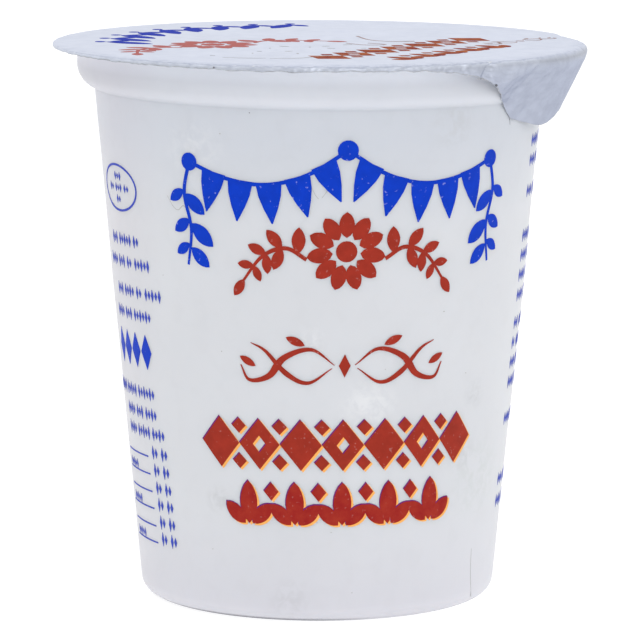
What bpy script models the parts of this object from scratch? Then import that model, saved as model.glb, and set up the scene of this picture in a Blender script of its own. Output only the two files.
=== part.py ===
"""A sealed single-serve pot of cottage cheese: a tapered plastic pot under its foil lid, with a pull tab.

Metres, +Z up. The origin is on the pot's axis, in the plane that it stands on. Its front faces -Y.
"""

import math

import bmesh
import bpy

# The pot, with radii to its outer face
POT_TOP = 0.0715
FOOT_CORNER = 0.0017
WALL_RADIUS_AT_FLOOR = 0.02288
WALL_TAPER = 0.0928
FOOT_INNER_RADIUS = 0.0193
RECESS_RADIUS = 0.0183
RECESS_DEPTH = 0.0014

# The collar is the rounded shoulder that bulges out of the wall below the flange
COLLAR_RADIUS = 0.0313
COLLAR_ROUNDING = 0.0030
COLLAR_HEIGHT = 0.0694

FLANGE_RADIUS = 0.03375
FLANGE_THICKNESS = 0.00045
FLANGE_EDGE_BEVEL = 0.00012

# The lid, with sizes to its outer face. It clears the flange by the gap that touching meshes need.
LID_TOP = 0.07205
LID_RADIUS = 0.0345
FOIL_THICKNESS = 0.00025
FOLD_ROUNDING = 0.00035
SKIRT_AT_BACK = 0.0001
SKIRT_AT_FRONT = 0.00055
DISC_RING_RADIUS = 0.0300

# The pull tab is a wide rounded tongue of the lid, folded down over the flange at the right of the front
TAB_AZIMUTH = math.radians(-14)
TAB_HALF_ANGLE = math.radians(39)
TAB_REACH = 0.0088
TAB_SQUARENESS = 2.7
TAB_CORNER_SOFTNESS = 0.0005
TAB_LEAN = math.radians(26)
TAB_FOLD_BULGE = 0.0003
TAB_FOLD_ROUNDING = 0.0009
TAB_ONSET = 0.4

# The tab's front edge is pinched in towards the collar
PINCH_LEAN = math.radians(8)
PINCH_FROM = math.radians(-20)
PINCH_TO = math.radians(-34)

PLASTIC_COLOUR = (0.74, 0.75, 0.78)
PLASTIC_ROUGHNESS = 0.38
FOIL_COLOUR = (0.62, 0.66, 0.72)
FOIL_ROUGHNESS = 0.42
FOIL_METALLIC = 0.25

# Round the axis, the tab and a margin at each side of it take half the lid's usual step
POT_SEGMENTS = 128
LID_SEGMENTS = 120
FINE_MARGIN = math.radians(8)
CORNER_STEPS = 4
COLLAR_STEPS = 7
FOLD_STEPS = 4
SKIRT_STEPS = 5
POT_SHARP_ANGLE = math.radians(35)
LID_SHARP_ANGLE = math.radians(50)


def clear_scene():
    for obj in list(bpy.data.objects):
        bpy.data.objects.remove(obj, do_unlink=True)


def make_material(name, colour, roughness, metallic):
    material = bpy.data.materials.new(name)
    material.use_nodes = True
    shader = material.node_tree.nodes["Principled BSDF"]
    shader.inputs["Base Color"].default_value = (*colour, 1.0)
    shader.inputs["Roughness"].default_value = roughness
    shader.inputs["Metallic"].default_value = metallic
    return material


def add_object(name, mesh_builder, material, sharp_angle):
    """Puts a finished bmesh into the scene as a smooth-shaded object."""
    mesh = bpy.data.meshes.new(name)
    bmesh.ops.recalc_face_normals(mesh_builder, faces=mesh_builder.faces)
    mesh_builder.to_mesh(mesh)
    mesh_builder.free()
    mesh.shade_smooth()
    mesh.set_sharp_from_angle(angle=sharp_angle)
    mesh.materials.append(material)
    obj = bpy.data.objects.new(name, mesh)
    bpy.context.scene.collection.objects.link(obj)
    return obj


def arc(centre, radius, start, end, steps):
    """Points (r, z) of an arc in the section plane. Angles run up from the outward direction."""
    angles = [start + (end - start) * i / steps for i in range(steps + 1)]
    return [
        (centre[0] + radius * math.cos(a), centre[1] + radius * math.sin(a))
        for a in angles
    ]


def smooth_step(start, end, x):
    share = min(1.0, max(0.0, (x - start) / (end - start)))
    return share * share * (3 - 2 * share)


def wall_radius(height):
    return WALL_RADIUS_AT_FLOOR + WALL_TAPER * height


def foot_corner():
    """The rounded corner between the foot and the wall, tangent to both."""
    tilt = math.atan(WALL_TAPER)
    foot_radius = WALL_RADIUS_AT_FLOOR - FOOT_CORNER * (1 / math.cos(tilt) - WALL_TAPER)
    return arc(
        (foot_radius, FOOT_CORNER), FOOT_CORNER, -math.pi / 2, -tilt, CORNER_STEPS
    )


def collar():
    """The collar's round, from the crease where it leaves the wall up to where it is upright."""
    centre = (COLLAR_RADIUS - COLLAR_ROUNDING, COLLAR_HEIGHT)
    crease_radius = wall_radius(COLLAR_HEIGHT - COLLAR_ROUNDING)
    crease_angle = -math.acos((crease_radius - centre[0]) / COLLAR_ROUNDING)
    return arc(centre, COLLAR_ROUNDING, crease_angle, 0.0, COLLAR_STEPS)


def pot_section():
    """The pot's section (r, z), from its recessed underside out, up the wall and in over the flange."""
    underside = [(RECESS_RADIUS, RECESS_DEPTH), (FOOT_INNER_RADIUS, 0.0)]
    flange_bottom = POT_TOP - FLANGE_THICKNESS
    flange = [
        (COLLAR_RADIUS, flange_bottom),
        (FLANGE_RADIUS - FLANGE_EDGE_BEVEL, flange_bottom),
        (FLANGE_RADIUS, flange_bottom + FLANGE_EDGE_BEVEL),
        (FLANGE_RADIUS, POT_TOP - FLANGE_EDGE_BEVEL),
        (FLANGE_RADIUS - FLANGE_EDGE_BEVEL, POT_TOP),
    ]
    return underside + foot_corner() + collar() + flange


def build_pot(material):
    """Spins the section about the axis and closes the underside and the top."""
    builder = bmesh.new()
    points = [builder.verts.new((r, 0.0, z)) for r, z in pot_section()]
    edges = [builder.edges.new(pair) for pair in zip(points, points[1:])]
    bmesh.ops.spin(
        builder,
        geom=points + edges,
        cent=(0.0, 0.0, 0.0),
        axis=(0.0, 0.0, 1.0),
        angle=math.tau,
        steps=POT_SEGMENTS,
        use_merge=True,
    )
    bmesh.ops.holes_fill(builder, edges=builder.edges, sides=POT_SEGMENTS)
    return add_object("pot", builder, material, POT_SHARP_ANGLE)


def tab_overhang(offset):
    """How far the lid reaches past its circle, at an angle from the tab's middle."""
    away = abs(offset) / TAB_HALF_ANGLE
    reach = TAB_REACH * (1 - away**TAB_SQUARENESS)
    return (reach + math.hypot(reach, TAB_CORNER_SOFTNESS)) / 2


def lid_section(azimuth):
    """The lid's section at one azimuth: its outer points (r, z) and the unit normals out of the foil."""
    offset = math.remainder(azimuth - TAB_AZIMUTH, math.tau)
    overhang = tab_overhang(offset)
    share = overhang / TAB_REACH
    facing_front = ((1 - math.sin(azimuth)) / 2) ** 2
    skirt = SKIRT_AT_BACK + (SKIRT_AT_FRONT - SKIRT_AT_BACK) * facing_front
    onset = smooth_step(0.0, TAB_ONSET, share)
    lean = TAB_LEAN * onset
    lean += PINCH_LEAN * smooth_step(PINCH_FROM, PINCH_TO, offset) * share
    rounding = FOLD_ROUNDING + (TAB_FOLD_ROUNDING - FOLD_ROUNDING) * onset
    edge_radius = LID_RADIUS + TAB_FOLD_BULGE * onset

    centre = (edge_radius - rounding, LID_TOP - rounding)
    points = [(DISC_RING_RADIUS, LID_TOP)]
    points += arc(centre, rounding, math.pi / 2, -lean, FOLD_STEPS)
    normals = [(0.0, 1.0)]
    normals += arc((0.0, 0.0), 1.0, math.pi / 2, -lean, FOLD_STEPS)
    fold_end = points[-1]
    down = (-math.sin(lean), -math.cos(lean))
    for step in range(1, SKIRT_STEPS + 1):
        run = (skirt + overhang) * step / SKIRT_STEPS
        points.append((fold_end[0] + run * down[0], fold_end[1] + run * down[1]))
        normals.append(normals[-1])
    return points, normals


def lid_azimuths():
    """The azimuths of the lid's sections, twice as close at the tab as elsewhere."""
    step = math.tau / LID_SEGMENTS
    azimuths = []
    for segment in range(LID_SEGMENTS):
        azimuths.append(segment * step)
        between = (segment + 0.5) * step
        offset = math.remainder(between - TAB_AZIMUTH, math.tau)
        if abs(offset) < TAB_HALF_ANGLE + FINE_MARGIN:
            azimuths.append(between)
    return azimuths


def build_lid(material):
    """Lofts the foil's two faces round the axis from its sections, and joins them along the cut edge."""
    builder = bmesh.new()
    outer, inner = [], []
    for azimuth in lid_azimuths():
        points, normals = lid_section(azimuth)
        turn = (math.cos(azimuth), math.sin(azimuth))
        outer.append(
            [builder.verts.new((r * turn[0], r * turn[1], z)) for r, z in points]
        )
        under = [
            (r - FOIL_THICKNESS * nr, z - FOIL_THICKNESS * nz)
            for (r, z), (nr, nz) in zip(points, normals)
        ]
        inner.append(
            [builder.verts.new((r * turn[0], r * turn[1], z)) for r, z in under]
        )
    for segment in range(len(outer)):
        following = (segment + 1) % len(outer)
        for face in (outer, inner):
            here, there = face[segment], face[following]
            for i in range(len(here) - 1):
                builder.faces.new((here[i], here[i + 1], there[i + 1], there[i]))
        edge = (
            outer[segment][-1],
            inner[segment][-1],
            inner[following][-1],
            outer[following][-1],
        )
        builder.faces.new(edge)
    builder.faces.new([column[0] for column in outer])
    builder.faces.new([column[0] for column in inner])
    return add_object("lid", builder, material, LID_SHARP_ANGLE)


def main():
    clear_scene()
    plastic = make_material("pot_plastic", PLASTIC_COLOUR, PLASTIC_ROUGHNESS, 0.0)
    foil = make_material("lid_foil", FOIL_COLOUR, FOIL_ROUGHNESS, FOIL_METALLIC)
    build_pot(plastic)
    build_lid(foil)


main()
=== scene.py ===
"""Dresses the sealed pot of cottage cheese: the moulded pot, its foil lid, their print, and the stage."""

import math

import bpy
import numpy as np
from mathutils import Matrix, Vector
from mathutils.geometry import delaunay_2d_cdt


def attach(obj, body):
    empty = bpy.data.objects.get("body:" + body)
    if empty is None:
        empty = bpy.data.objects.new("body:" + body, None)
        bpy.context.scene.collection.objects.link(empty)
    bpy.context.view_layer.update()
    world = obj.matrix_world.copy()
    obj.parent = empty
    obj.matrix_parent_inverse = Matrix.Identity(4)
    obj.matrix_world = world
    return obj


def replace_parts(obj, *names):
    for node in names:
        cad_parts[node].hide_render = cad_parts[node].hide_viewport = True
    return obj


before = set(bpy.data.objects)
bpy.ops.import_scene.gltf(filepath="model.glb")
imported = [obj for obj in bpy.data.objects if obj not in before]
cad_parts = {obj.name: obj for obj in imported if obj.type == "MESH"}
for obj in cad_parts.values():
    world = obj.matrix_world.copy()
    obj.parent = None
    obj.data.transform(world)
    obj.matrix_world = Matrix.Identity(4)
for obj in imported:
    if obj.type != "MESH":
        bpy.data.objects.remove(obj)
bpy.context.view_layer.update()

MM = 0.001

# The camera, as fitted to the photograph's outlines. Lengths here and below are in millimetres.
CAMERA_DISTANCE = 606.2
CAMERA_PITCH = math.radians(8.415)
CAMERA_ROLL = math.radians(0.198)
CAMERA_TARGET = (0.279, 0.0, 35.594)
CAMERA_FOCAL_PIXELS = 4638.0
PHOTO_PIXELS = 640.0
SENSOR_WIDTH = 36.0

# The floor, a disc that reaches past the picture's edges, in metres
FLOOR_RADIUS = 12.0
FLOOR_STEPS = 96

# The pot's section, from the same values as the solid but for a slightly rounder foot. The collar's lower
# half is also deeper by a share of itself, more so at the right, and ends in a small fillet.
POT_TOP = 71.86
FOOT_CORNER = 2.2
WALL_RADIUS_AT_FLOOR = 22.88
WALL_TAPER = 0.0928
FOOT_INNER_RADIUS = 19.3
RECESS_RADIUS = 18.3
RECESS_DEPTH = 1.4
COLLAR_RADIUS = 31.3
COLLAR_ROUNDING = 3.0
COLLAR_HEIGHT = 69.4
COLLAR_FILLET = 0.25
COLLAR_SAG = 0.135
COLLAR_SAG_TILT = 0.085
FLANGE_RADIUS = 33.75
FLANGE_BOTTOM = 71.48
FLANGE_BEVEL = 0.12
FLANGE_FILLET = 0.25
POT_SEGMENTS = 480
WALL_STEP = 0.9
CORNER_STEPS = 10
COLLAR_STEPS = 22
FILLET_STEPS = 5

# The lid's section. Its flat part sinks slightly inside the rim.
LID_TOP = 72.03
LID_RADIUS = 34.48
LID_SINK = 0.035
FOIL_THICKNESS = 0.12
RAW_EDGE_AND_SHADE_WIDTH = 0.14
RAW_EDGE_AND_SHADE_PROUD = 0.012
RAW_EDGE_AND_SHADE_PROUD_BELOW = 0.01
DISC_RADII = np.concatenate([np.linspace(1.0, 31.0, 16), np.linspace(31.5, 33.0, 4)])
FOLD_STEPS = 9
SKIRT_STEPS = 44

# The tab, a wide tongue of the lid that is folded down. Its corner at the front is tucked in to the pot.
TAB_AZIMUTH = math.radians(-14)
TAB_HALF_ANGLE = math.radians(39)
TAB_REACH = 8.8
TAB_SQUARENESS = 2.7
TAB_CORNER_SOFTNESS = 0.5
TAB_FOLD_BULGE = 0.3
TAB_ONSET = 0.4
TAB_LEAN = 26
TAB_LEAN_AT_SKIRT = 5
TUCKED_SLOPE = 1.048
TAB_CLEARANCE = 0.16
TOUCH_SOFTNESS = 0.4

# The height of the foil's lower edge, at angles from the lid's right, as the picture shows it
EDGE_HEIGHTS = (
    (-180, 71.7), (-155, 71.6), (-140, 71.45), (-112, 71.35), (-98, 71.2), (-85, 71.3), (-73, 71.25),
    (-67, 71.15), (-62, 70.85), (-55, 70.2), (-54, 69.8), (-53.6, 69.95), (-51.7, 69.4), (-50.5, 68.9),
    (-47, 67.9), (-42, 66.65), (-37.5, 65.75), (-34, 64.1), (-33, 63.75), (-28, 63.15), (-22.5, 62.5),
    (-20, 62.4), (-18, 62.6), (-15, 63.25), (-12.5, 63.8), (-5.5, 64.2), (0, 64.3), (6, 64.7),
    (12, 65.9), (17, 67.6), (24, 70.7), (28, 71.3), (35, 71.5), (60, 71.65), (180, 71.7),
)

# The tab's slanting crease, above which the foil stands upright: heights at angles from the lid's right
CREASE = (
    (-180, 60.0), (-50.9, 60.0), (-50.5, 68.86), (-49.3, 69.14), (-45.8, 69.52), (-42.9, 69.82),
    (-39.6, 70.25), (-38.0, 70.9), (-36.0, 71.6), (180, 71.6),
)
CREASE_SOFTNESS = 0.06

# The label's middle on the wall, to the right of the front, and the heights of what is printed there
LABEL_ANGLE = 7.5
SWAG_HEIGHT = 61.0
FLOWER_HEIGHT = 48.2
FLOURISH_HEIGHT = 33.6
UPPER_ROW_HEIGHT = 23.3
LOWER_ROW_HEIGHT = 12.9

# The step along a chain of beads, and the space between two chains
BEAD_STEP = 0.74
BEADS_APART = 0.75

# How thick the films of ink and dirt are, and how far they stand off what they lie on
FILM_THICKNESS = 0.06
INK_LIFT = 0.03
LID_INK_LIFT = 0.018
RUB_LIFT = 0.02
MARK_LIFT = 0.012

# The width over which a graph's across runs from 0 to 1
ACROSS_WIDTH = 70

# The plastic's colour, then factors for it by height, most of them painted light and shade. Their lines
# lie higher at the left by TONE_TILT.
PLASTIC = (0.632, 0.645, 0.676)
# A greyer head where the pot holds no contents, with painted shade from the collar over it
HEADSPACE_AND_SHADE = (0.918, 0.938, 0.97)
# Painted light on the collar, painted shade on its lower half, a painted highlight on its lip, and painted
# light under the rim
COLLAR_PAINTED_LIGHT = (1.03, 1.045, 1.08)
COLLAR_PAINTED_SHADE = (0.925, 0.938, 0.97)
LIP_PAINTED_HIGHLIGHT = (0.995, 1.005, 1.04)
UNDER_RIM_PAINTED_LIGHT = (1.16, 1.17, 1.20)
WALL_HEADSPACE_AND_SHADING = (
    (50, (1.0, 1.0, 1.0)), (62, HEADSPACE_AND_SHADE), (65.95, HEADSPACE_AND_SHADE), (66.15, LIP_PAINTED_HIGHLIGHT), (67.0, LIP_PAINTED_HIGHLIGHT),
    (67.8, COLLAR_PAINTED_SHADE), (69.2, COLLAR_PAINTED_SHADE), (70.0, COLLAR_PAINTED_LIGHT), (71.0, UNDER_RIM_PAINTED_LIGHT),
)
TONE_TILT = 0.6

# The painted contact shadow where the pot stands, and smudges on the wall: angle to the right of the
# front, height, reach, strength and shade
CONTACT_SHADOW = (0.06, 0.06, 0.09)
DUST = (0.50, 0.51, 0.53)
MILK = (0.72, 0.73, 0.75)
MOSS = (0.50, 0.54, 0.53)
STAINS = (
    (-27.6, 23.9, 2.6, 0.5, DUST), (-31.0, 15.6, 2.2, 0.5, DUST), (-1.5, 36.4, 2.4, 0.7, MILK),
    (14.8, 28.2, 4.2, 0.8, MILK), (51.5, 28.5, 2.4, 0.5, DUST), (57.0, 17.5, 6.5, 0.32, MOSS),
    (48.0, 21.0, 3.0, 0.4, DUST), (-33.0, 60.5, 5.0, 0.35, MILK), (36.0, 63.8, 4.0, 0.35, DUST),
    (-8.0, 3.0, 3.5, 0.35, DUST),
)

FOIL = (0.455, 0.492, 0.60)
# The foil's reflection colour where it faces down, a painted shade
FOIL_PAINTED_EDGE_SHADE = (0.74, 0.76, 0.82)
FOIL_BACK = (0.88, 0.89, 0.92)

# Painted light on the turned-down foil: how much paler than the flat it is made, by height
SKIRT_PAINTED_LIGHT = (
    (69.8, (1.045, 1.035, 1.02)), (70.6, (1.11, 1.10, 1.07)), (71.1, (1.09, 1.075, 1.03)),
    (71.35, (1.04, 1.02, 0.97)), (71.6, (1.22, 1.20, 1.13)), (71.85, (1.55, 1.52, 1.43)),
)
# The dark strip at the foil's lower end: the raw edge's dull colour, darkened as painted shade
RAW_EDGE_AND_SHADE = (0.47, 0.49, 0.54)

# Inks
BLUE = (0.001, 0.042, 0.53)
SMALL_BLUE = (0.045, 0.075, 0.50)
RED = (0.36, 0.032, 0.017)
DEEP_RED = (0.27, 0.008, 0.010)
ORANGE = (0.95, 0.45, 0.12)
LID_BLUE = (0.06, 0.085, 0.50)
LID_RED = (0.51, 0.18, 0.17)
LID_BROWN = (0.46, 0.16, 0.07)
LID_DARK = (0.22, 0.05, 0.06)


def smooth_step(start, end, x):
    share = np.clip((x - start) / (end - start), 0.0, 1.0)
    return share * share * (3 - 2 * share)


def waves(points, length, seed, count=28):
    """Smooth noise of unit spread at points (n, 3): a sum of plane waves of about that length."""
    source = np.random.default_rng(seed)
    way = source.normal(size=(count, 3))
    way /= np.linalg.norm(way, axis=1, keepdims=True)
    lengths = length * source.uniform(0.7, 1.5, size=(count, 1))
    numbers = way * math.tau / lengths
    phases = source.uniform(0, math.tau, size=count)
    return np.sin(points @ numbers.T + phases).sum(axis=1) / math.sqrt(count / 2)


def arc(centre, radius, start, end, steps):
    angles = np.linspace(start, end, steps + 1)
    return [(centre[0] + radius * math.cos(a), centre[1] + radius * math.sin(a)) for a in angles]


def add_object(name, data):
    piece = bpy.data.objects.new(name, data)
    bpy.context.scene.collection.objects.link(piece)
    return piece


# Materials


def new_material(name, colour, roughness, metallic=0.0, specular=0.5):
    material = bpy.data.materials.new(name)
    material.use_nodes = True
    shader = material.node_tree.nodes["Principled BSDF"]
    shader.inputs["Base Color"].default_value = (*colour, 1.0)
    shader.inputs["Roughness"].default_value = roughness
    shader.inputs["Metallic"].default_value = metallic
    shader.inputs["Specular IOR Level"].default_value = specular
    return material, shader


class Graph:
    """Short names for the few node patterns that the materials share."""

    def __init__(self, material):
        self.nodes = material.node_tree.nodes
        self.links = material.node_tree.links
        self.place = self.nodes.new("ShaderNodeTexCoord").outputs["Object"]
        self.normal = self.nodes.new("ShaderNodeNewGeometry").outputs["Normal"]

    def feed(self, node, values):
        """Gives the node's numbered inputs their values, or links them to other nodes."""
        for socket, value in values.items():
            if isinstance(value, (int, float)):
                node.inputs[socket].default_value = value
            elif isinstance(value, tuple):
                node.inputs[socket].default_value = (*value, 1.0)
            else:
                self.links.new(value, node.inputs[socket])

    def part(self, vector, axis):
        node = self.nodes.new("ShaderNodeSeparateXYZ")
        self.links.new(vector, node.inputs[0])
        return node.outputs[axis]

    def noise(self, length, detail=2.0, rough=0.5, distortion=0.0):
        """Noise whose features are about length millimetres across."""
        node = self.nodes.new("ShaderNodeTexNoise")
        node.inputs["Scale"].default_value = 1.0 / (length * MM)
        node.inputs["Detail"].default_value = detail
        node.inputs["Roughness"].default_value = rough
        node.inputs["Distortion"].default_value = distortion
        self.links.new(self.place, node.inputs["Vector"])
        return node.outputs["Fac"]

    def height(self, low, high):
        """From 0 to 1 between two heights in millimetres."""
        above = self.math("SUBTRACT", self.part(self.place, "Z"), low * MM)
        return self.math("MULTIPLY", above, 1 / ((high - low) * MM))

    def across(self):
        """From 0 at the pot's left to 1 at its right."""
        share = self.math("MULTIPLY", self.part(self.place, "X"), 1 / (ACROSS_WIDTH * MM))
        return self.math("ADD", share, 0.5)

    def distance(self, point, reach):
        """The distance from a point, as a share of reach (both in millimetres)."""
        node = self.nodes.new("ShaderNodeVectorMath")
        node.operation = "DISTANCE"
        self.links.new(self.place, node.inputs[0])
        node.inputs[1].default_value = tuple(c * MM for c in point)
        return self.math("MULTIPLY", node.outputs["Value"], 1 / (reach * MM))

    def upward(self):
        """How far the face looks up, from -1 to 1."""
        return self.part(self.normal, "Z")

    def inward(self):
        """1 where the face looks towards the pot's axis, 0 elsewhere."""
        level = self.nodes.new("ShaderNodeVectorMath")
        level.operation = "MULTIPLY"
        level.inputs[1].default_value = (-1.0, -1.0, 0.0)
        out = self.nodes.new("ShaderNodeVectorMath")
        out.operation = "NORMALIZE"
        dot = self.nodes.new("ShaderNodeVectorMath")
        dot.operation = "DOT_PRODUCT"
        self.links.new(self.place, level.inputs[0])
        self.links.new(level.outputs[0], out.inputs[0])
        self.links.new(out.outputs[0], dot.inputs[0])
        self.links.new(self.normal, dot.inputs[1])
        return self.ramp(dot.outputs["Value"], [(0.1, 0.0), (0.3, 1.0)])

    def ramp(self, value, stops):
        """Colours or greys along value, from (position, colour) stops."""
        node = self.nodes.new("ShaderNodeValToRGB")
        node.color_ramp.elements.remove(node.color_ramp.elements[1])
        for i, (position, colour) in enumerate(stops):
            if i:
                element = node.color_ramp.elements.new(position)
            else:
                element = node.color_ramp.elements[0]
                element.position = position
            if isinstance(colour, (int, float)):
                colour = (colour, colour, colour)
            element.color = (*colour, 1.0)
        self.links.new(value, node.inputs["Fac"])
        return node.outputs["Color"]

    def mix(self, share, a, b, kind="MIX"):
        node = self.nodes.new("ShaderNodeMix")
        node.data_type = "RGBA"
        node.blend_type = kind
        self.feed(node, {0: share, 6: a, 7: b})
        return node.outputs[2]

    def math(self, kind, a, b):
        node = self.nodes.new("ShaderNodeMath")
        node.operation = kind
        self.feed(node, {0: a, 1: b})
        return node.outputs[0]

    def multiply(self, colour, factor):
        return self.mix(1.0, colour, factor, "MULTIPLY")

    def scale(self, colour, value, stops, most):
        """A colour times factors along value. The ramp holds them divided by most, since it stops at 1."""
        factors = self.ramp(value, [(position, tint(factor, 1 / most)) for position, factor in stops])
        return self.multiply(self.multiply(colour, factors), (most, most, most))

    def bump(self, height, distance, strength, shader):
        node = self.nodes.new("ShaderNodeBump")
        node.inputs["Distance"].default_value = distance * MM
        node.inputs["Strength"].default_value = strength
        self.links.new(height, node.inputs["Height"])
        self.links.new(node.outputs["Normal"], shader.inputs["Normal"])


def tint(colour, by):
    return tuple(min(1.0, c * by) for c in colour)


def label_point(theta, z):
    """A point on the wall at an angle to the right of the front."""
    r = wall_radius(z)
    return (r * math.sin(math.radians(theta)), -r * math.cos(math.radians(theta)), z)


def plastic_material():
    """Satin white: warmer where the contents touch the wall, paler at the empty head, with smudges,
    painted light and shade by height on the collar and head, painted shade at the left and towards the
    foot, and a painted contact shadow.
    """
    material, shader = new_material("pot_plastic", PLASTIC, 0.42, specular=0.3)
    shader.inputs["Subsurface Weight"].default_value = 0.6
    shader.inputs["Subsurface Radius"].default_value = (1.0, 0.9, 0.85)
    shader.inputs["Subsurface Scale"].default_value = 2.5 * MM
    g = Graph(material)
    across = g.across()
    broad = g.ramp(g.noise(16, 1.0), [(0.3, tint(PLASTIC, 0.985)), (0.7, tint(PLASTIC, 1.015))])
    curds = g.ramp(g.noise(2.6, 2.0, distortion=0.4), [(0.32, 0.972), (0.5, 1.0), (0.72, 1.0)])
    colour = g.mix(0.55, broad, curds, "MULTIPLY")

    tall = 80
    along = g.math("ADD", g.height(0, tall), g.math("MULTIPLY", across, TONE_TILT / tall))
    painted_shading = [((z + TONE_TILT / 2) / tall, factor) for z, factor in WALL_HEADSPACE_AND_SHADING]
    # Painted light and shade on the collar, and a greyer head, by height
    colour = g.scale(colour, along, painted_shading, 1.25)
    # Painted shade on the left of the collar's lower half
    shaded = g.multiply(colour, g.ramp(across, [(0.06, 0.9), (0.3, 1.0)]))
    low_collar = [(66.3 / tall, 0.0), (67.0 / tall, 1.0), (68.6 / tall, 1.0), (69.8 / tall, 0.0)]
    colour = g.mix(g.ramp(along, low_collar), colour, shaded)

    patchy = g.ramp(g.noise(1.3, 3.0, 0.6, distortion=0.5), [(0.4, 0.0), (0.62, 1.0)])
    for theta, z, reach, strength, shade in STAINS:
        near = g.ramp(g.distance(label_point(theta, z), reach), [(0.3, strength), (1.0, 0.0)])
        colour = g.mix(g.math("MULTIPLY", near, patchy), colour, shade)

    # Painted shade: darker and slightly purple towards the foot
    foot = g.ramp(g.height(0, 14), [(0.0, (0.98, 0.96, 0.99)), (1.0, 1.0)])
    colour = g.multiply(colour, foot)
    # Painted shade down the pot's left side
    left_side_shade = g.ramp(across, [(0.13, (0.945, 0.92, 0.93)), (0.22, 1.0)])
    colour = g.multiply(colour, left_side_shade)

    # A painted contact shadow along the foot, darker at the left, kept off the flat underside
    contact_shadow_height = g.ramp(g.height(0, 2), [(0.12, 1.0), (0.3, 0.0)])
    leftward = g.ramp(across, [(0.2, 0.75), (0.3, 0.9), (0.5, 0.75), (0.62, 0.2), (0.8, 0.1)])
    upturned = g.ramp(g.math("ADD", g.upward(), 1.0), [(0.01, 0.0), (0.06, 1.0)])
    share = g.math("MULTIPLY", g.math("MULTIPLY", contact_shadow_height, leftward), upturned)
    colour = g.mix(share, colour, CONTACT_SHADOW)
    g.links.new(colour, shader.inputs["Base Color"])
    g.links.new(g.ramp(g.noise(5, 3.0), [(0.3, 0.36), (0.7, 0.46)]), shader.inputs["Roughness"])
    g.bump(g.noise(0.9, 3.0), 0.01, 0.25, shader)
    return material


def foil_material():
    """Pale lacquered foil, patchy where it is turned down, with painted light there, painted shade where
    it faces down, and a plain white back.
    """
    material, shader = new_material("lid_foil", FOIL, 0.4, metallic=1.0)
    g = Graph(material)
    # Painted shade: the reflection is dimmed where the foil faces down
    down_facing_shade = g.ramp(g.math("ADD", g.upward(), 0.5), [(0.3, FOIL_PAINTED_EDGE_SHADE), (0.8, 1.0)])
    g.links.new(down_facing_shade, shader.inputs["Specular Tint"])
    broad = g.ramp(g.noise(9, 2.0), [(0.3, tint(FOIL, 0.97)), (0.7, tint(FOIL, 1.03))])
    upright = g.ramp(g.upward(), [(0.55, 1.0), (0.95, 0.02)])
    grain = g.ramp(g.noise(0.7, 3.0), [(0.3, 0.96), (0.7, 1.0)])
    patches = g.ramp(g.noise(1.5, 3.0, 0.6), [(0.35, 0.88), (0.65, (1.0, 1.0, 0.99))])
    # Painted light on the turned-down foil, by height, brightest at the fold
    low, high = 69, 73
    painted_shading = [((z - low) / (high - low), factor) for z, factor in SKIRT_PAINTED_LIGHT]
    texture_and_painted_light = g.scale(g.multiply(grain, patches), g.height(low, high), painted_shading, 1 / 0.6)
    colour = g.mix(upright, broad, texture_and_painted_light, "MULTIPLY")
    back = g.inward()
    g.links.new(g.mix(back, colour, FOIL_BACK), shader.inputs["Base Color"])
    g.links.new(g.math("SUBTRACT", 1.0, back), shader.inputs["Metallic"])
    g.links.new(g.ramp(g.noise(1.4, 3.0), [(0.3, 0.39), (0.7, 0.46)]), shader.inputs["Roughness"])
    g.bump(g.math("MULTIPLY", g.noise(0.6, 4.0, 0.62), upright), 0.06, 0.6, shader)
    return material


def ink_material(name, colour, dark, wear=0.0, specular=0.08, mottle=0.5):
    """Ink with a slight mottle, from dark to colour, and a few worn pale flecks."""
    material, shader = new_material(name, colour, 0.5, specular=specular)
    g = Graph(material)
    base = g.ramp(g.noise(1.6, 4.0, 0.6), [(0.5 - mottle / 2, dark), (0.5 + mottle / 2, colour)])
    if wear:
        flecks = g.ramp(g.noise(0.5, 2.0), [(0.66, 0.0), (0.74, wear)])
        base = g.mix(flecks, base, tuple(c * 0.6 + 0.35 for c in colour))
    g.links.new(base, shader.inputs["Base Color"])
    return material


# Meshes


def finish_piece(name, vertices, faces, material, sharp):
    """A smooth piece from points in millimetres, with edges kept sharp past an angle in degrees."""
    mesh = bpy.data.meshes.new(name)
    mesh.from_pydata((np.asarray(vertices) * MM).tolist(), [], faces)
    mesh.shade_smooth()
    mesh.set_sharp_from_angle(angle=math.radians(sharp))
    mesh.materials.append(material)
    piece = add_object(name, mesh)
    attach(piece, "root")
    return piece


def lathe_faces(rings, segments):
    """Quads between rings of equal length, and a cap at each end."""
    faces = []
    for ring in range(rings - 1):
        a, b = ring * segments, (ring + 1) * segments
        for i in range(segments):
            j = (i + 1) % segments
            faces.append((a + i, a + j, b + j, b + i))
    faces.append(tuple(reversed(range(segments))))
    faces.append(tuple(range((rings - 1) * segments, rings * segments)))
    return faces


# The pot


def wall_radius(height):
    return WALL_RADIUS_AT_FLOOR + WALL_TAPER * height


def label_angles(points):
    """Angles in degrees to the right of the front."""
    return np.degrees(np.arctan2(points[:, 0], -points[:, 1]))


def wall_relief(points):
    """How far the moulded wall stands off its cone at points (n, 3)."""
    theta, z = label_angles(points), points[:, 2]
    relief = np.clip(0.018 * waves(points, 22, 11) + 0.010 * waves(points, 8, 12), -0.05, 0.05)

    # A crescent dent near the foot and a small notch under the collar
    u = (theta - 15) * 0.41
    line = z - (7.2 + 0.28 * u * u)
    relief -= 0.09 * np.exp(-((line / 0.55) ** 2)) * np.exp(-((u / 3.1) ** 4))
    u = np.abs(theta - 0.5) * 0.49
    relief -= 0.035 * np.exp(-(((z - 54.8 - 1.8 * u) / 0.5) ** 2)) * (u < 1.5)

    # The right side bellies out slightly
    sideways = np.sin(np.radians(theta)) ** 4 * (theta > 0)
    return relief + 0.14 * sideways * np.exp(-(((z - 36) / 17) ** 2))


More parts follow.
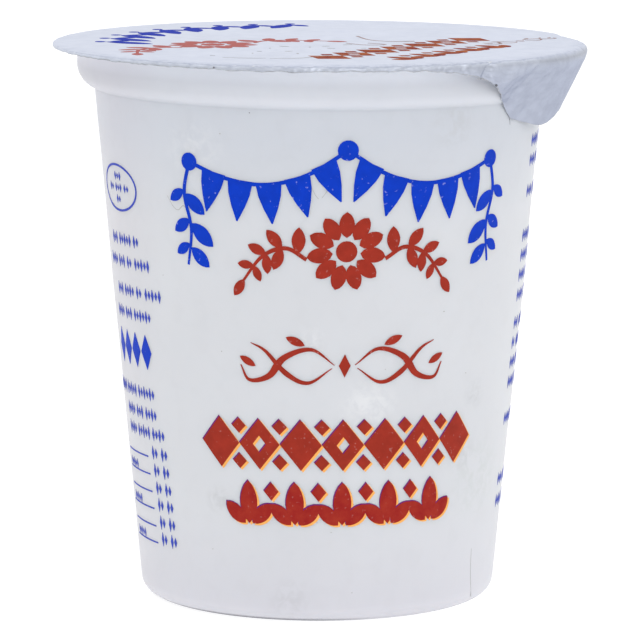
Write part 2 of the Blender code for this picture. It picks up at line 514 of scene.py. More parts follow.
def pot_profile():
    """The section, rows of (r, z, share), where share is how much of the wall's relief applies."""
    tilt = math.atan(WALL_TAPER)
    foot_radius = WALL_RADIUS_AT_FLOOR - FOOT_CORNER * (1 / math.cos(tilt) - WALL_TAPER)
    inner = FOOT_INNER_RADIUS
    underside = [(2.0, RECESS_DEPTH), (9.0, RECESS_DEPTH), (RECESS_RADIUS - 0.3, RECESS_DEPTH)]
    underside += [(RECESS_RADIUS, RECESS_DEPTH - 0.1)]
    underside += [(inner - 0.25, 0.25), (inner, 0.06), (inner + 0.2, 0.0)]
    corner = arc((foot_radius, FOOT_CORNER), FOOT_CORNER, -math.pi / 2, -tilt, CORNER_STEPS)
    centre = (COLLAR_RADIUS - COLLAR_ROUNDING, COLLAR_HEIGHT)
    crease = COLLAR_HEIGHT - COLLAR_ROUNDING
    start = -math.acos((wall_radius(crease) - centre[0]) / COLLAR_ROUNDING)
    collar = arc(centre, COLLAR_ROUNDING, start, 0.0, COLLAR_STEPS)
    bend = np.array(collar[0])
    under = bend - COLLAR_FILLET * np.array([math.sin(tilt), math.cos(tilt)])
    out = bend + COLLAR_FILLET * np.array([-math.sin(start), math.cos(start)])
    fillet = [
        tuple((1 - t) ** 2 * under + 2 * t * (1 - t) * bend + t * t * out)
        for t in np.linspace(0, 1, FILLET_STEPS + 1)
    ]
    low, high = corner[-1][1], fillet[0][1] - WALL_STEP
    count = int((high - low) / WALL_STEP)
    heights = [low + (high - low) * i / count for i in range(1, count + 1)]
    wall = [(wall_radius(height), height) for height in heights]
    flange = [
        (COLLAR_RADIUS, FLANGE_BOTTOM - FLANGE_FILLET),
        (COLLAR_RADIUS + FLANGE_FILLET, FLANGE_BOTTOM),
        (FLANGE_RADIUS - FLANGE_BEVEL, FLANGE_BOTTOM),
        (FLANGE_RADIUS, FLANGE_BOTTOM + FLANGE_BEVEL),
        (FLANGE_RADIUS, POT_TOP - FLANGE_BEVEL),
        (FLANGE_RADIUS - FLANGE_BEVEL, POT_TOP),
    ]
    section = [(r, z, 0.0) for r, z in underside]
    section += [(r, z, i / CORNER_STEPS) for i, (r, z) in enumerate(corner)]
    section += [(r, z, 1.0) for r, z in wall + fillet + collar[2:]]
    section += [(r, z, 0.0) for r, z in flange]
    return np.array(section)


def on_circle(radii, heights, angles):
    """Points from radii and heights, or one of either for all, at angles from +X."""
    parts = np.broadcast_arrays(radii * np.cos(angles), radii * np.sin(angles), heights)
    return np.stack(parts, axis=-1)


def collar_sag(azimuths):
    """How much deeper the collar's lower half is than the solid's, as a share: more at the right."""
    return COLLAR_SAG + COLLAR_SAG_TILT * np.cos(azimuths)


def make_pot():
    section = pot_profile()
    angles = np.arange(POT_SEGMENTS) * math.tau / POT_SEGMENTS
    rings = []
    for r, z, share in section:
        lift = share * wall_relief(on_circle(r, z, angles))
        below = COLLAR_HEIGHT - z
        drop = collar_sag(angles) * (below if 0 < below < COLLAR_ROUNDING + COLLAR_FILLET else 0)
        rings.append(on_circle(r + lift - WALL_TAPER * drop, z - drop, angles))
    faces = lathe_faces(len(rings), POT_SEGMENTS)
    pot = finish_piece("pot_shell", np.concatenate(rings), faces, plastic_material(), 32)
    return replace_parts(pot, "pot")


# The lid


def tab_overhang(offset):
    away = np.abs(offset) / TAB_HALF_ANGLE
    reach = TAB_REACH * (1 - away**TAB_SQUARENESS)
    return (reach + np.hypot(reach, TAB_CORNER_SOFTNESS)) / 2


def lid_relief(x, y):
    """The height of the lid's slightly sunken top face under its rim."""
    points = np.stack([x, y, np.zeros_like(x)], axis=-1)
    noise = np.clip(0.006 * waves(points, 13, 21) + 0.002 * waves(points, 5, 22), -0.02, 0.02)
    sunk = 1 - smooth_step(30.5, 33.0, np.hypot(x, y))
    return (noise - LID_SINK) * sunk


def pot_radius(height, azimuths):
    """The pot's outline at heights under the flange."""
    depth = COLLAR_ROUNDING * (1 + collar_sag(azimuths))
    rise = np.clip((height - COLLAR_HEIGHT) / depth, -1, 0)
    collar = COLLAR_RADIUS - COLLAR_ROUNDING + COLLAR_ROUNDING * np.sqrt(1 - rise**2)
    return np.maximum(collar, wall_radius(height))


def softly_positive(x, softness):
    return (x + np.hypot(x, softness)) / 2


def ease(degrees, start, end, low, high):
    """A smooth change from low to high between two angles."""
    return low + (high - low) * smooth_step(start, end, degrees)


def lid_surface(azimuths):
    """The lid's outer face: points and unit normals, each (row, azimuth, 3), and where the tab is."""
    offset = np.remainder(azimuths - TAB_AZIMUTH + math.pi, math.tau) - math.pi
    onset = smooth_step(0.0, TAB_ONSET, tab_overhang(offset) / TAB_REACH)
    facing = ((1 - np.sin(azimuths)) / 2) ** 2
    rim = on_circle(LID_RADIUS, 0.0, azimuths)
    degrees = np.remainder(np.degrees(azimuths) + 180, 360) - 180
    edge_height = np.interp(degrees, *np.array(EDGE_HEIGHTS).T)
    ragged = 0.04 * waves(rim, 2.4, 31) + 0.025 * waves(rim, 0.9, 34)
    edge_height = edge_height + ragged * facing * (1 - 0.6 * onset)

    on_tab = ease(degrees, -42, -34, 0.55, 0.9) + ease(degrees, -32, -18, 0, 0.48)
    on_tab = on_tab * (1 + 0.12 * waves(rim, 9, 33))
    rounding = np.clip(0.12 + 0.40 * facing + (on_tab - 0.45) * onset, 0.12, 1.45)
    edge = LID_RADIUS + TAB_FOLD_BULGE * onset
    edge = edge - 0.06 * np.abs(waves(rim, 2.2, 32)) * facing * (1 - 0.5 * onset)
    top_slope = np.tan(np.radians(ease(degrees, -46, -39, TAB_LEAN_AT_SKIRT, TAB_LEAN))) * onset
    slope = ease(degrees, -15, -40, math.tan(math.radians(TAB_LEAN)), TUCKED_SLOPE) * onset

    rows = []
    for r in DISC_RADII:
        x, y, _ = on_circle(r, 0.0, azimuths).T
        rows.append((np.full_like(azimuths, r), LID_TOP + lid_relief(x, y)))
    for step in range(FOLD_STEPS + 1):
        angle = math.pi / 2 - (math.pi / 2 + np.arctan(top_slope)) * step / FOLD_STEPS
        rows.append((edge - rounding * (1 - np.cos(angle)), LID_TOP - rounding * (1 - np.sin(angle))))
    end = rows[-1]
    bend = np.minimum(np.interp(degrees, *np.array(CREASE).T), end[1])
    reach = np.maximum(end[1] - edge_height, 0.04)
    for step in range(1, SKIRT_STEPS + 1):
        z = end[1] - reach * step / SKIRT_STEPS
        r = end[0] - top_slope * (end[1] - z)
        r = r - (slope - top_slope) * softly_positive(bend - z, CREASE_SOFTNESS)
        wall = pot_radius(z, azimuths) + TAB_CLEARANCE
        rows.append((np.minimum(end[0], wall + softly_positive(r - wall, TOUCH_SOFTNESS)), z))
    r, z = (np.stack([row[i] for row in rows]) for i in (0, 1))
    out, up = -np.gradient(z, axis=0), np.gradient(r, axis=0)
    size = np.hypot(out, up)
    return on_circle(r, z, azimuths), on_circle(out / size, up / size, azimuths), onset


def crumple(points, outward, onset):
    """Pushes the lid's folded edge and tab in along creases and wrinkles."""
    depth = np.zeros(points.shape[:2])
    first = len(DISC_RADII)
    drop = LID_TOP - points[..., 2]
    azimuths = np.arctan2(points[first, :, 1], points[first, :, 0])[None, :]
    degrees = np.degrees(azimuths)
    facing = ((1 - np.sin(azimuths)) / 2) ** 2
    broad, sharp, fine, finest = (
        np.abs(waves(points.reshape(-1, 3), length, seed)).reshape(depth.shape)
        for length, seed in ((7.5, 41), (2.6, 42), (1.1, 43), (0.6, 44))
    )
    on_edge = np.zeros(depth.shape)
    on_edge[first - 3 : first] = np.array([0.06, 0.25, 0.6])[:, None]
    on_edge[first:] = 1.0
    flat = on_edge * (1 - onset) * facing
    depth += flat * (0.05 * sharp + 0.07 * fine + 0.03 * finest)
    tab = np.clip(drop / 1.2, 0.3, 1.0) * on_edge * onset * ease(degrees, -34, -20, 1.0, 0.3)
    depth += tab * (0.03 * broad + 0.04 * sharp + 0.03 * fine + 0.012 * finest)

    # Small dents along the tab's fold, and the dog-ear where the tab leaves the skirt
    at_fold = np.exp(-(((drop - 0.25) / 0.3) ** 2)) * on_edge * onset
    depth += at_fold * 0.09 * np.minimum(sharp * fine, 1.0)
    beyond = degrees - np.interp(LID_TOP - drop, (70.0, 70.8, 71.6, 72.1), (-54.2, -53.6, -52.5, -51.6))
    ear = smooth_step(-0.2, 0.3, beyond) * (1 - smooth_step(0.3, 3.5, beyond))
    depth += 0.23 * ear * on_edge * (np.abs(beyond) < 8)
    return points - outward * depth[..., None]


def lid_azimuths():
    """Close together where the lid faces the front, wider behind, round from +X."""
    front = np.radians(np.arange(-162, 36, 0.36))
    behind = np.radians(np.arange(36, 198, 1.0))
    return np.concatenate([front, behind])


def make_raw_edge_and_shade(outer, outward, azimuths):
    """The dull cut edge of the foil with painted shade where it faces down, a narrow dark strip along its
    lower end.
    """
    degrees = np.degrees(azimuths)
    steps = np.linalg.norm(outer[-1] - outer[-2], axis=1)
    width = RAW_EDGE_AND_SHADE_WIDTH * ease(degrees, -160, -140, 0.3, 1.0) * ease(degrees, -52, -40, 1.0, 0.2)
    rise = np.minimum(width / steps, SKIRT_STEPS)[:, None]
    low = outer[-1] + outward[-1] * RAW_EDGE_AND_SHADE_PROUD
    high = outer[-1] + (outer[-2] - outer[-1]) * rise + outward[-2] * RAW_EDGE_AND_SHADE_PROUD
    under = outer[-1] - outward[-1] * (FOIL_THICKNESS + RAW_EDGE_AND_SHADE_PROUD_BELOW)
    material, shader = new_material("raw_edge_and_shade", RAW_EDGE_AND_SHADE, 0.5, metallic=0.4)
    g = Graph(material)
    dull = g.ramp(g.noise(0.8, 3.0), [(0.35, tint(RAW_EDGE_AND_SHADE, 0.7)), (0.65, RAW_EDGE_AND_SHADE)])
    g.links.new(dull, shader.inputs["Base Color"])
    rings = np.concatenate([high, low, under])
    count = len(azimuths)
    faces = []
    for ring in range(3):
        a, b = ring * count, (ring + 1) % 3 * count
        faces += [(a + i, b + i, b + (i + 1) % count, a + (i + 1) % count) for i in range(count)]
    strip = finish_piece("lid_raw_edge_and_shade", rings, faces, material, 40)
    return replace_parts(strip, "lid")


def make_lid():
    azimuths = lid_azimuths()
    count = len(azimuths)
    points, outward, onset = lid_surface(azimuths)
    outer = crumple(points, outward, onset)
    first = len(DISC_RADII) - 1
    make_raw_edge_and_shade(outer, outward, azimuths)
    inner = (outer - outward * FOIL_THICKNESS)[first:][::-1]
    rings = np.concatenate([outer, inner])
    faces = lathe_faces(len(rings), count)
    faces = [tuple(reversed(face)) for face in faces]
    lid = finish_piece("lid_foil_sheet", rings.reshape(-1, 3), faces, foil_material(), 55)
    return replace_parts(lid, "lid")


# Print


def arrange(points, angle, at, size=1.0):
    """Points (n, 2) scaled, turned by angle in degrees and moved."""
    c, s = math.cos(math.radians(angle)), math.sin(math.radians(angle))
    points = np.asarray(points, dtype=float) * size
    return points @ np.array([[c, s], [-s, c]]) + np.asarray(at)


def leaf(length, width, fullness=0.75, steps=9):
    """A pointed oval from the origin along +u."""
    t = np.linspace(0, 1, steps + 1)
    half = width / 2 * np.sin(math.pi * t) ** fullness
    top = np.stack([length * t, half], axis=1)
    low = np.stack([length * t, -half], axis=1)[1:-1]
    return np.concatenate([low, top[::-1]])


def lozenge(width, height):
    return np.array([(0, -height / 2), (width / 2, 0), (0, height / 2), (-width / 2, 0)])


def bar(length, height, lean=0.0):
    """A bar with clipped corners, from the origin to the right."""
    c = min(height, length) * 0.25
    h = height / 2
    loop = [(c, -h), (length - c, -h), (length, -h + c), (length, h - c)]
    loop += [(length - c, h), (c, h), (0, h - c), (0, -h + c)]
    return np.array([(x + lean * y, y) for x, y in loop])


def ellipse(half_width, half_height, steps=28):
    t = np.arange(steps) * math.tau / steps
    return np.stack([half_width * np.cos(t), half_height * np.sin(t)], axis=1)


def pennant(width, height):
    """A flag hanging from the origin, with slightly bowed sides."""
    w = width / 2
    return np.array(
        [(-w, 0.25), (-0.86 * w, -0.3 * height), (-0.55 * w, -0.62 * height), (-0.08, -height)]
        + [(0.08, -height), (0.55 * w, -0.62 * height), (0.86 * w, -0.3 * height), (w, 0.25)]
    )


def curve(knots, steps=10):
    """A smooth line through the knots."""
    k = np.asarray(knots, dtype=float)
    k = np.concatenate([[2 * k[0] - k[1]], k, [2 * k[-1] - k[-2]]])
    line = []
    for i in range(1, len(k) - 2):
        for t in np.arange(steps) / steps:
            a = 2 * k[i] + (k[i + 1] - k[i - 1]) * t
            b = (2 * k[i - 1] - 5 * k[i] + 4 * k[i + 1] - k[i + 2]) * t * t
            c = (3 * k[i] - k[i - 1] - 3 * k[i + 1] + k[i + 2]) * t**3
            line.append((a + b + c) / 2)
    return np.array(line + [k[-2]])


def ribbon(knots, widths):
    """A stroke along a smooth line, as wide as widths say at even shares of its length."""
    line = curve(knots)
    way = np.gradient(line, axis=0)
    side = np.stack([-way[:, 1], way[:, 0]], axis=1) / np.linalg.norm(way, axis=1)[:, None]
    width = np.interp(np.linspace(0, 1, len(line)), np.linspace(0, 1, len(widths)), widths)
    left, right = line + side * width[:, None] / 2, line - side * width[:, None] / 2
    return np.concatenate([right, left[::-1]])


def with_mirrored(shapes):
    """The shapes, then their mirror images."""
    return shapes + [shape[::-1] * (-1, 1) for shape in shapes]


def inside(points, loops):
    """Which points lie inside an odd number of the loops."""
    odd = np.zeros(len(points), dtype=bool)
    for loop in loops:
        for a, b in zip(loop, np.roll(loop, -1, axis=0)):
            crosses = (a[1] > points[:, 1]) != (b[1] > points[:, 1])
            rise = b[1] - a[1] if b[1] != a[1] else 1e-12
            odd ^= crosses & (points[:, 0] < (b[0] - a[0]) * (points[:, 1] - a[1]) / rise + a[0])
    return odd


def fill(loops, grid):
    """Triangles over the first loop less the others, with points no farther apart than grid."""
    dense = []
    for loop in loops:
        loop, points = np.asarray(loop, dtype=float), []
        for a, b in zip(loop, np.roll(loop, -1, axis=0)):
            count = max(1, math.ceil(np.linalg.norm(b - a) / grid))
            points += [a + (b - a) * i / count for i in range(count)]
        dense.append(np.array(points))
    edges, start = [], 0
    for loop in dense:
        n = len(loop)
        edges += [(start + i, start + (i + 1) % n) for i in range(n)]
        start += n
    border = np.concatenate(dense)
    low, high = border.min(axis=0), border.max(axis=0)
    us, vs = (np.arange(low[i] + grid / 2, high[i], grid) for i in (0, 1))
    mesh = np.array([(u, v) for u in us for v in vs]).reshape(-1, 2)
    if len(mesh):
        apart = np.linalg.norm(mesh[:, None] - border[None], axis=2).min(axis=1)
        mesh = mesh[(apart > grid * 0.35) & inside(mesh, dense)]
    coords = [Vector(p) for p in np.concatenate([border, mesh])]
    points, _, triangles, *_ = delaunay_2d_cdt(coords, edges, [], 0, 1e-5)
    points = np.array([tuple(p) for p in points])
    triangles = np.array([t for t in triangles if len(t) == 3])
    kept = triangles[inside(points[triangles].mean(axis=1), dense)]
    a, b, c = (points[kept[:, i]] for i in range(3))
    turn = (b[:, 0] - a[:, 0]) * (c[:, 1] - a[:, 1]) - (b[:, 1] - a[:, 1]) * (c[:, 0] - a[:, 0])
    return points, [tuple(t) if w > 0 else tuple(t[::-1]) for t, w in zip(kept.tolist(), turn)]


def wall_place(angle, radius):
    """Lays flat points round the wall from angle in degrees, to scale where the wall has that radius."""

    def place(points, lift):
        theta = math.radians(angle) + points[:, 0] / radius - math.pi / 2
        height = points[:, 1]
        r = wall_radius(height)
        r = r + wall_relief(on_circle(r, height, theta)) + lift
        return on_circle(r, height, theta)

    return place


def lid_place(points, lift):
    """Lays flat points on the lid's top face."""
    x, y = points.T
    return np.stack([x, y, LID_TOP + lid_relief(x, y) + lift], axis=1)


def ink_piece(name, prints, material, lift=INK_LIFT, shift=(0.0, 0.0), grid=0.8):
    """One piece of ink: a thin closed film for each shape of each (place, shapes) pair."""
    vertices, faces = [], []
    for place, shapes in prints:
        for shape in shapes:
            loops = shape if isinstance(shape, list) else [shape]
            points, triangles = fill(loops, grid)
            points = points + np.asarray(shift)
            start, count = len(vertices), len(points)
            vertices += place(points, lift).tolist() + place(points, lift - FILM_THICKNESS).tolist()
            ways = {(t[i], t[(i + 1) % 3]) for t in triangles for i in range(3)}
            for t in triangles:
                faces.append(tuple(start + i for i in t))
                faces.append(tuple(start + count + i for i in reversed(t)))
            for a, b in sorted(ways):
                if (b, a) not in ways:
                    faces.append((start + count + a, start + count + b, start + b, start + a))
    piece = finish_piece(name, vertices, faces, material, 30)
    if any(place in (lid_place, edge_place) for place, _ in prints):
        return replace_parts(piece, "lid")
    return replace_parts(piece, "pot")


# The garland's left half: its swag, the run that five pennants are spread along, and its tail
SWAG = [(-20.6, 59.0), (-15.5, 57.2), (-10.2, 56.6), (-5.0, 57.9), (0.0, SWAG_HEIGHT)]
PENNANT_RUN = 21.2
TAIL = [(-20.6, 59.0), (-21.6, 55.0), (-20.8, 50.5), (-21.6, 45.8)]


def garland():
    """Two swags of pennants with a leafy tail at each end, round the wall from the label's middle."""
    line = curve(SWAG, 24)
    run = np.concatenate([[0], np.cumsum(np.linalg.norm(np.diff(line, axis=0), axis=1))]) / PENNANT_RUN
    half = [ribbon(SWAG, [0.5, 0.5]), ribbon(TAIL, [0.5, 0.5, 0.35])]

    def on_swag(share):
        return np.array([np.interp(share, run, line[:, i]) for i in (0, 1)])

    for share in (0.175, 0.35, 0.525, 0.70, 0.875):
        at = on_swag(share)
        ahead = on_swag(share + 0.02) - at
        tilt = math.degrees(math.atan2(ahead[1], ahead[0]))
        half.append(arrange(pennant(3.35, 5.0), tilt * 0.75, at))
    stem = curve(TAIL, 12)
    for share, size in ((0.36, 0.9), (0.62, 1.0), (0.86, 0.85)):
        at = stem[int(share * (len(stem) - 1))]
        half.append(arrange(leaf(4.2, 2.1), -42, at + (0.15, -0.1), size))
        half.append(arrange(leaf(3.0, 1.6), -146, at + (-0.15, 0.4), size))
    half.append(ellipse(1.15, 1.15, 18) + SWAG[0])
    return with_mirrored(half) + [ellipse(1.3, 1.3, 18) + (0, SWAG_HEIGHT)]


def daisy(petals=11):
    shapes = [ellipse(1.35, 1.35, 20)]
    for i in range(petals):
        angle = 90 + 360 * i / petals
        turn = math.radians(angle)
        shapes.append(arrange(leaf(3.3, 1.95, 0.6), angle, (1.75 * math.cos(turn), 1.75 * math.sin(turn))))
    return [shape + (0, FLOWER_HEIGHT) for shape in shapes]


def sprigs():
    """A leafy sprig drooping at each side of the flower."""
    stem = [(5.0, 47.2), (7.6, 48.6), (10.6, 47.5), (13.3, 44.2)]
    line = curve(stem, 12)
    shapes = [ribbon(stem, [0.5, 0.55, 0.3])]
    for i, share in enumerate((0.16, 0.40, 0.62, 0.82)):
        at = line[int(share * (len(line) - 1))]
        way = line[int(share * (len(line) - 1)) + 1] - at
        tilt = math.degrees(math.atan2(way[1], way[0]))
        size = 1.0 - 0.12 * i
        shapes.append(arrange(leaf(3.4, 1.75), tilt + 58, at, size))
        if i:
            shapes.append(arrange(leaf(3.4, 1.7), tilt - 60, at, size))
    shapes.append(arrange(leaf(2.6, 1.3), -56, line[-2]))
    return with_mirrored(shapes)


def flourish():
    """A level ornament of thin swelling strokes."""
    upper = [(1.3, 33.7), (4.2, 35.7), (7.6, 34.6), (9.6, 32.2), (12.2, 31.6), (13.3, 33.5)]
    lower = [(1.6, 33.3), (4.6, 31.4), (7.4, 32.6), (10.0, 35.4), (11.9, 36.4)]
    strokes = [
        ribbon(upper, [0.1, 0.55, 0.95, 0.5, 0.15]),
        ribbon(lower, [0.1, 0.45, 0.7, 0.4, 0.1]),
        arrange(leaf(2.6, 1.05), 24, (5.0, 36.2)),
        arrange(leaf(2.4, 0.95), -150, (13.4, 34.6)),
        lozenge(0.9, 1.2) + (8.6, FLOURISH_HEIGHT),
    ]
    return with_mirrored(strokes) + [lozenge(1.5, 3.0) + (0, FLOURISH_HEIGHT)]


def upper_row():
    """Bold lozenges, each with a small one cut out, and small ones between them."""
    shapes = []
    for i in range(7):
        at = ((i - 3) * 5.35, UPPER_ROW_HEIGHT)
        big = lozenge(5.3, 6.6) + at
        shapes.append([big, lozenge(1.7, 2.2) + at] if i % 2 else big)
        if i < 6:
            shapes += [lozenge(1.9, 2.0) + (at[0] + 2.67, v) for v in (25.6, 21.0)]
    return shapes


def lower_row():
    """Bold sprouts of three leaves, with a lozenge between each pair."""
    shapes = []
    for i in range(5):
        u = (i - 2) * 6.0
        shapes.append(arrange(leaf(5.6, 2.3, 0.7), 90, (u, LOWER_ROW_HEIGHT)))
        for side in (1, -1):
            at = (u + side * 0.5, LOWER_ROW_HEIGHT)
            shapes.append(arrange(leaf(3.7, 1.9, 0.7), 90 - side * 44, at))
        if i < 4:
            shapes.append(lozenge(1.9, 2.4) + (u + 3.0, 17.2))
    return shapes


def beads(length, height):
    """A chain of narrow lozenges of two heights."""
    count = max(2, round(length / BEAD_STEP))
    return [
        lozenge(0.6, height * (1.0, 0.7)[i % 2]) + (BEAD_STEP / 2 + i * BEAD_STEP, 0)
        for i in range(count)
    ]


def small_rows(rows, height, right=True):
    """Rows of beads that end at u = -indent, or start at u = indent: rows are (v, indent, lengths)."""
    shapes = []
    for v, indent, lengths in rows:
        u = -indent if right else indent
        for length in lengths:
            at = (u - length if right else u, v)
            shapes += [shape + at for shape in beads(length, height)]
            u += (length + BEADS_APART) * (-1 if right else 1)
    return shapes


def left_panel():
    """The small print left of the front, as (place, shapes) pairs from its top to its foot."""
    rows = ((1.5, (2.0,)), (0.0, (1.3, 2.0, 1.3)), (-1.5, (1.6,)))
    oval = [[ellipse(5.3, 3.1, 40) + (0, 54.3), ellipse(4.98, 2.8, 40) + (0, 54.3)]]
    for v, lengths in rows:
        oval += small_rows([(54.3 + v, -sum(lengths) / 2 - 0.38 * (len(lengths) - 1), lengths)], 1.15)
    notes = small_rows([(47.6, 2.9, (1.4, 3.4, 2.0)), (44.7, 1.0, (3.4, 1.4, 2.0, 2.7))], 1.7)
    notes += small_rows([(41.0, -1.0, (3.4, 1.4, 2.7, 2.0)), (38.0, 0.9, (4.8, 2.0, 2.7))], 1.7)
    heading = [(27.9, 0.9, (4.1, 3.4, 3.4)), (25.2, 0.7, (2.7, 2.0, 2.7)), (22.7, -0.7, (2.7, 3.4, 2.7))]
    table = []
    for i, v in enumerate((20.2, 17.9, 15.6, 13.4, 11.1, 8.9)):
        end = -0.15 * i
        table += small_rows([(v, end, (0.7, 1.4))], 1.9)
        table.append(bar(8.0, 0.2) + (-11.9 - end, v - 0.7))
        if i % 2:
            table += small_rows([(v, 8.0 + end, (3.4,))], 1.3)
    return [
        (wall_place(-66.5, 27.9), oval),
        (wall_place(-51.0, 27.0), notes),
        (wall_place(-53.6, 25.2), small_rows(heading, 1.8)),
        (wall_place(-52.6, 24.3), table),
    ]


def bold_mark():
    return [lozenge(2.5, 4.6) + (-1.3 - 2.75 * i, 33.4) for i in range(4)]


def right_panel():
    """The small print right of the front, most of it out of the picture's sight."""
    lengths = np.random.default_rng(5).uniform(1.6, 4.6, size=(14, 6))
    heights = (60.2, 57.6, 53.6, 47.8, 45.2, 42.6, 40.0, 36.4, 33.8, 31.2, 28.6, 23.8, 15.8, 12.9)
    rows = [(v, 0.0, lengths[i][: 3 + i % 3]) for i, v in enumerate(heights)]
    return [(wall_place(73.5, 26.5), small_rows(rows, 1.7, right=False))]


def lid_arc():
    """A ring of leaves near the lid's far left edge."""
    shapes = []
    for i in range(9):
        azimuth = 98 + 10.4 * i
        ahead = np.array([math.cos(math.radians(azimuth)), math.sin(math.radians(azimuth))])
        shapes.append(arrange(leaf(7.0, 2.5), azimuth + 152, ahead * 27.6))
        shapes.append(arrange(leaf(3.4, 1.5), azimuth + 216, ahead * 27.0))
        shapes.append(ellipse(0.7, 0.7, 14) + ahead * 28.3)
    return shapes


def on_lid(shapes, middle, angle, at, size):
    """Shapes drawn about height middle on the wall's label, laid on the lid."""

    def lay(loop):
        return arrange(loop - (0, middle), angle, at, size)

    return [[lay(loop) for loop in shape] if isinstance(shape, list) else lay(shape) for shape in shapes]


def lid_rows():
    """The two bold rows again, across the lid's right side."""
    upper = on_lid(upper_row(), UPPER_ROW_HEIGHT, 55.5, (10.5, -8.5), 1.0)
    return upper + on_lid(lower_row(), 15.6, 55.5, (16.3, -14.0), 0.85)


def lid_strokes():
    shapes = on_lid(flourish(), FLOURISH_HEIGHT, 48, (26.2, 2.6), 0.5)
    shapes.append(ribbon([(5.0, 9.0), (6.6, 3.6), (9.4, 1.2), (12.4, 1.6)], [0.35, 0.3, 0.3, 0.7]))
    shapes.append(ribbon([(3.6, -1.6), (6.2, -4.2), (8.6, -3.2), (6.4, -1.2)], [0.3, 0.3]))
    return shapes


def edge_place(points, lift):
    """Lays flat points on the lid's turned-down edge: u along it from the front, v up."""
    theta = points[:, 0] / LID_RADIUS - math.pi / 2
    return on_circle(LID_RADIUS - 0.02 + lift, points[:, 1], theta)


def make_marks():
    """The hairs, specks and scratches that the pot and its lid have picked up, a grey line painted as
    shade in a small crease, and a dark dot painted as shadow where the tab is pinched in.
    """
    grey = ink_material("mark_and_crease_grey", (0.36, 0.36, 0.35), (0.42, 0.42, 0.42))
    dark = ink_material("mark_and_shadow_dark", (0.12, 0.12, 0.14), (0.2, 0.2, 0.22))
    hair = [(-20.2, 54.4), (-19.3, 53.1), (-18.5, 52.7), (-17.6, 53.3), (-16.9, 52.3), (-16.8, 51.2)]
    # A grey line painted as shade along the crease of the small notch under the collar
    fold = [(-0.9, 56.6), (-0.2, 55.2), (0.4, 55.0), (1.5, 56.6)]
    lines = [ribbon(hair, [0.03, 0.09, 0.05]), ribbon(fold, [0.03, 0.07, 0.03])]
    lines.append(ribbon([(27.0, 7.8), (27.4, 4.5), (28.3, 1.2)], [0.05, 0.08, 0.05]))
    specks = [(-11.9, 62.8, 0.09), (17.3, 39.9, 0.1), (-13.0, 35.0, 0.08), (9.0, 33.0, 0.07)]
    specks += [(2.0, 12.0, 0.08), (-22.0, 44.0, 0.07), (22.0, 31.5, 0.08), (-16.0, 9.0, 0.08)]
    specks.append((5.2, 4.0, 0.08))
    lines += [ellipse(r, r * 0.8, 8) + (u, v) for u, v, r in specks]
    ink_piece("wall_marks_and_crease_shade", [(wall_place(0, 27.0), lines)], grey, MARK_LIFT, grid=2)
    scratch = [ribbon([(28.2, 64.5), (28.3, 63.7), (28.5, 62.9)], [0.04, 0.1, 0.03])]
    scratch.append(ellipse(0.08, 0.07, 8) + (-8.5, 65.6))
    ink_piece("wall_scratch", [(wall_place(0, 28.4), scratch)], dark, MARK_LIFT, grid=2)
    # A dark dot painted as the shadow where the tab's corner is pinched in, and a speck on the lid's edge
    specks = [ellipse(0.17, 0.15, 10) + (23.98, 68.98), ellipse(0.1, 0.12, 8) + (-13.2, 71.6)]
    ink_piece("edge_speck_and_shadow_dot", [(edge_place, specks)], dark, MARK_LIFT, grid=2)
    rubs = [ribbon([(-6.1, -23.7), (-2.3, -23.0), (1.0, -19.6)], [0.05, 0.3, 0.08])]
    rubs.append(ribbon([(-12.0, -22.6), (-9.0, -23.4), (-6.6, -23.4)], [0.05, 0.22, 0.05]))
    flecks = [(-4.3, -13.8, 0.5), (-2.6, -17.3, 0.45), (-3.8, -6.6, 0.6), (0.4, -6.4, 0.5)]
    flecks += [(-1.1, -7.9, 0.35), (2.1, -9.3, 0.5), (3.1, -4.1, 0.6), (-8.3, -16.8, 0.35)]
    flecks += [(-7.2, -13.9, 0.3), (-2.3, -22.8, 0.3), (-6.2, -9.6, 0.3), (-13.0, -20.0, 0.3)]
    flecks.append((5.4, -9.0, 0.35))
    for i, (x, y, r) in enumerate(flecks):
        rubs.append(arrange(leaf(r * 2.2, r * 0.7), 25 + 70 * (i % 3), (x, y)))
    ink_piece("lid_rubs", [(lid_place, rubs)], grey, RUB_LIFT, grid=1.5)


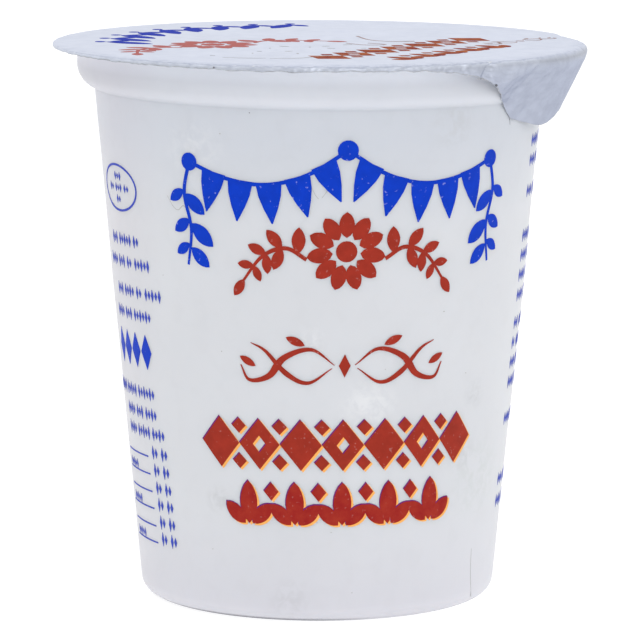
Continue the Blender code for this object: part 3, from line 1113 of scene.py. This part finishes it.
def make_print():
    blue = ink_material("ink_blue", BLUE, tint(BLUE, 0.8), wear=0.5)
    small = ink_material("ink_small_blue", SMALL_BLUE, tint(SMALL_BLUE, 0.8), wear=0.2)
    red = ink_material("ink_red", RED, tint(RED, 0.72), wear=0.25)
    deep = ink_material("ink_deep_red", RED, DEEP_RED, wear=0.2)
    orange = ink_material("ink_orange", ORANGE, tint(ORANGE, 0.9))
    lid_blue = ink_material("ink_lid_blue", LID_BLUE, tint(LID_BLUE, 0.7), wear=0.2, specular=0.0)
    lid_red = ink_material("ink_lid_red", LID_RED, tint(LID_RED, 0.85), wear=0.3, specular=0.0)
    lid_brown = ink_material("ink_lid_brown", LID_BROWN, LID_DARK, wear=0.2, mottle=0.3, specular=0.0)
    lid_grey = ink_material("ink_lid_grey", (0.26, 0.21, 0.22), (0.33, 0.15, 0.13))
    purple = ink_material("ink_purple", (0.16, 0.02, 0.19), (0.12, 0.015, 0.15))

    def both(radius, shapes):
        """The shapes on the label at the front and again at the back."""
        return [(wall_place(angle, radius), shapes) for angle in (LABEL_ANGLE, LABEL_ANGLE + 180)]

    upper, lower = both(25.0, upper_row()), both(24.3, lower_row())
    garlands = both(27.9, garland()) + [(wall_place(-54.5, 26.0), bold_mark())]
    ink_piece("print_garland", garlands, blue)
    ink_piece("print_figure", both(27.3, daisy() + sprigs()), red)
    ink_piece("print_flourish", both(26.0, flourish()), red)
    ink_piece("print_upper_row", upper, red)
    ink_piece("print_lower_row", lower, deep)
    ink_piece("print_orange_edge", upper + lower, orange, lift=0.016, shift=(0.26, -0.2))
    ink_piece("print_purple_edge", upper + lower, purple, lift=0.020, shift=(-0.1, 0.14))
    ink_piece("print_small", left_panel() + right_panel(), small)
    flower = on_lid(daisy() + sprigs(), 48.0, 38, (-13.5, -4.5), 1.15)
    on_top = [
        ("lid_print_blue", lid_arc(), lid_blue, "print_blue"),
        ("lid_print_red", flower, lid_red, "print_red"),
        ("lid_print_rows", lid_rows(), lid_brown, "print_red"),
        ("lid_print_strokes", lid_strokes(), lid_grey, "print_red"),
    ]
    for name, shapes, ink, slot in on_top:
        ink_piece(name, [(lid_place, shapes)], ink, LID_INK_LIFT, grid=1.5)


# Camera, light and floor


def make_camera():
    pitch, roll = CAMERA_PITCH, CAMERA_ROLL
    back = Vector((0.0, -math.cos(pitch), math.sin(pitch)))
    level_up = Vector((0.0, math.sin(pitch), math.cos(pitch)))
    right = Vector((math.cos(roll), 0.0, 0.0)) + level_up * math.sin(roll)
    up = level_up * math.cos(roll) - Vector((math.sin(roll), 0.0, 0.0))
    place = (Vector(CAMERA_TARGET) + back * CAMERA_DISTANCE) * MM
    data = bpy.data.cameras.new("camera")
    data.sensor_width = SENSOR_WIDTH
    data.lens = CAMERA_FOCAL_PIXELS / PHOTO_PIXELS * SENSOR_WIDTH
    data.clip_start, data.clip_end = 0.01, 100.0
    camera = add_object("camera", data)
    turn = Matrix((right, up, back)).transposed().to_4x4()
    camera.matrix_world = Matrix.Translation(place) @ turn
    bpy.context.scene.camera = camera


def make_area_light(name, place, target, size, power):
    data = bpy.data.lights.new(name, "AREA")
    data.shape = "DISK"
    data.size = size
    data.energy = power
    light = add_object(name, data)
    light.location = place
    aim = Vector(target) - Vector(place)
    light.rotation_euler = aim.to_track_quat("-Z", "Y").to_euler()


def make_world():
    world = bpy.data.worlds.new("studio")
    world.use_nodes = True
    background = world.node_tree.nodes["Background"]
    background.inputs["Color"].default_value = (1.0, 1.0, 1.0, 1.0)
    background.inputs["Strength"].default_value = 1.0
    bpy.context.scene.world = world
    bpy.context.scene.view_settings.view_transform = "Standard"


def make_floor():
    angles = np.arange(FLOOR_STEPS) * math.tau / FLOOR_STEPS
    ring = [(FLOOR_RADIUS * math.cos(a), FLOOR_RADIUS * math.sin(a), 0.0) for a in angles]
    mesh = bpy.data.meshes.new("floor")
    mesh.from_pydata(ring, [], [tuple(range(FLOOR_STEPS))])
    material, shader = new_material("floor", (0.3, 0.3, 0.303), 0.9, specular=0.0)
    shader.inputs["Emission Color"].default_value = (1.0, 1.0, 1.0, 1.0)
    shader.inputs["Emission Strength"].default_value = 0.86
    mesh.materials.append(material)
    floor = add_object("floor", mesh)


make_world()
make_camera()
make_floor()
make_area_light("key", (0.5, -1.1, 0.2), (0, 0, 0.04), size=0.6, power=1.3)
make_area_light("back", (0.0, 0.95, 0.42), (0, 0, 0.07), size=0.8, power=0.62)
make_pot()
make_lid()
make_print()
make_marks()
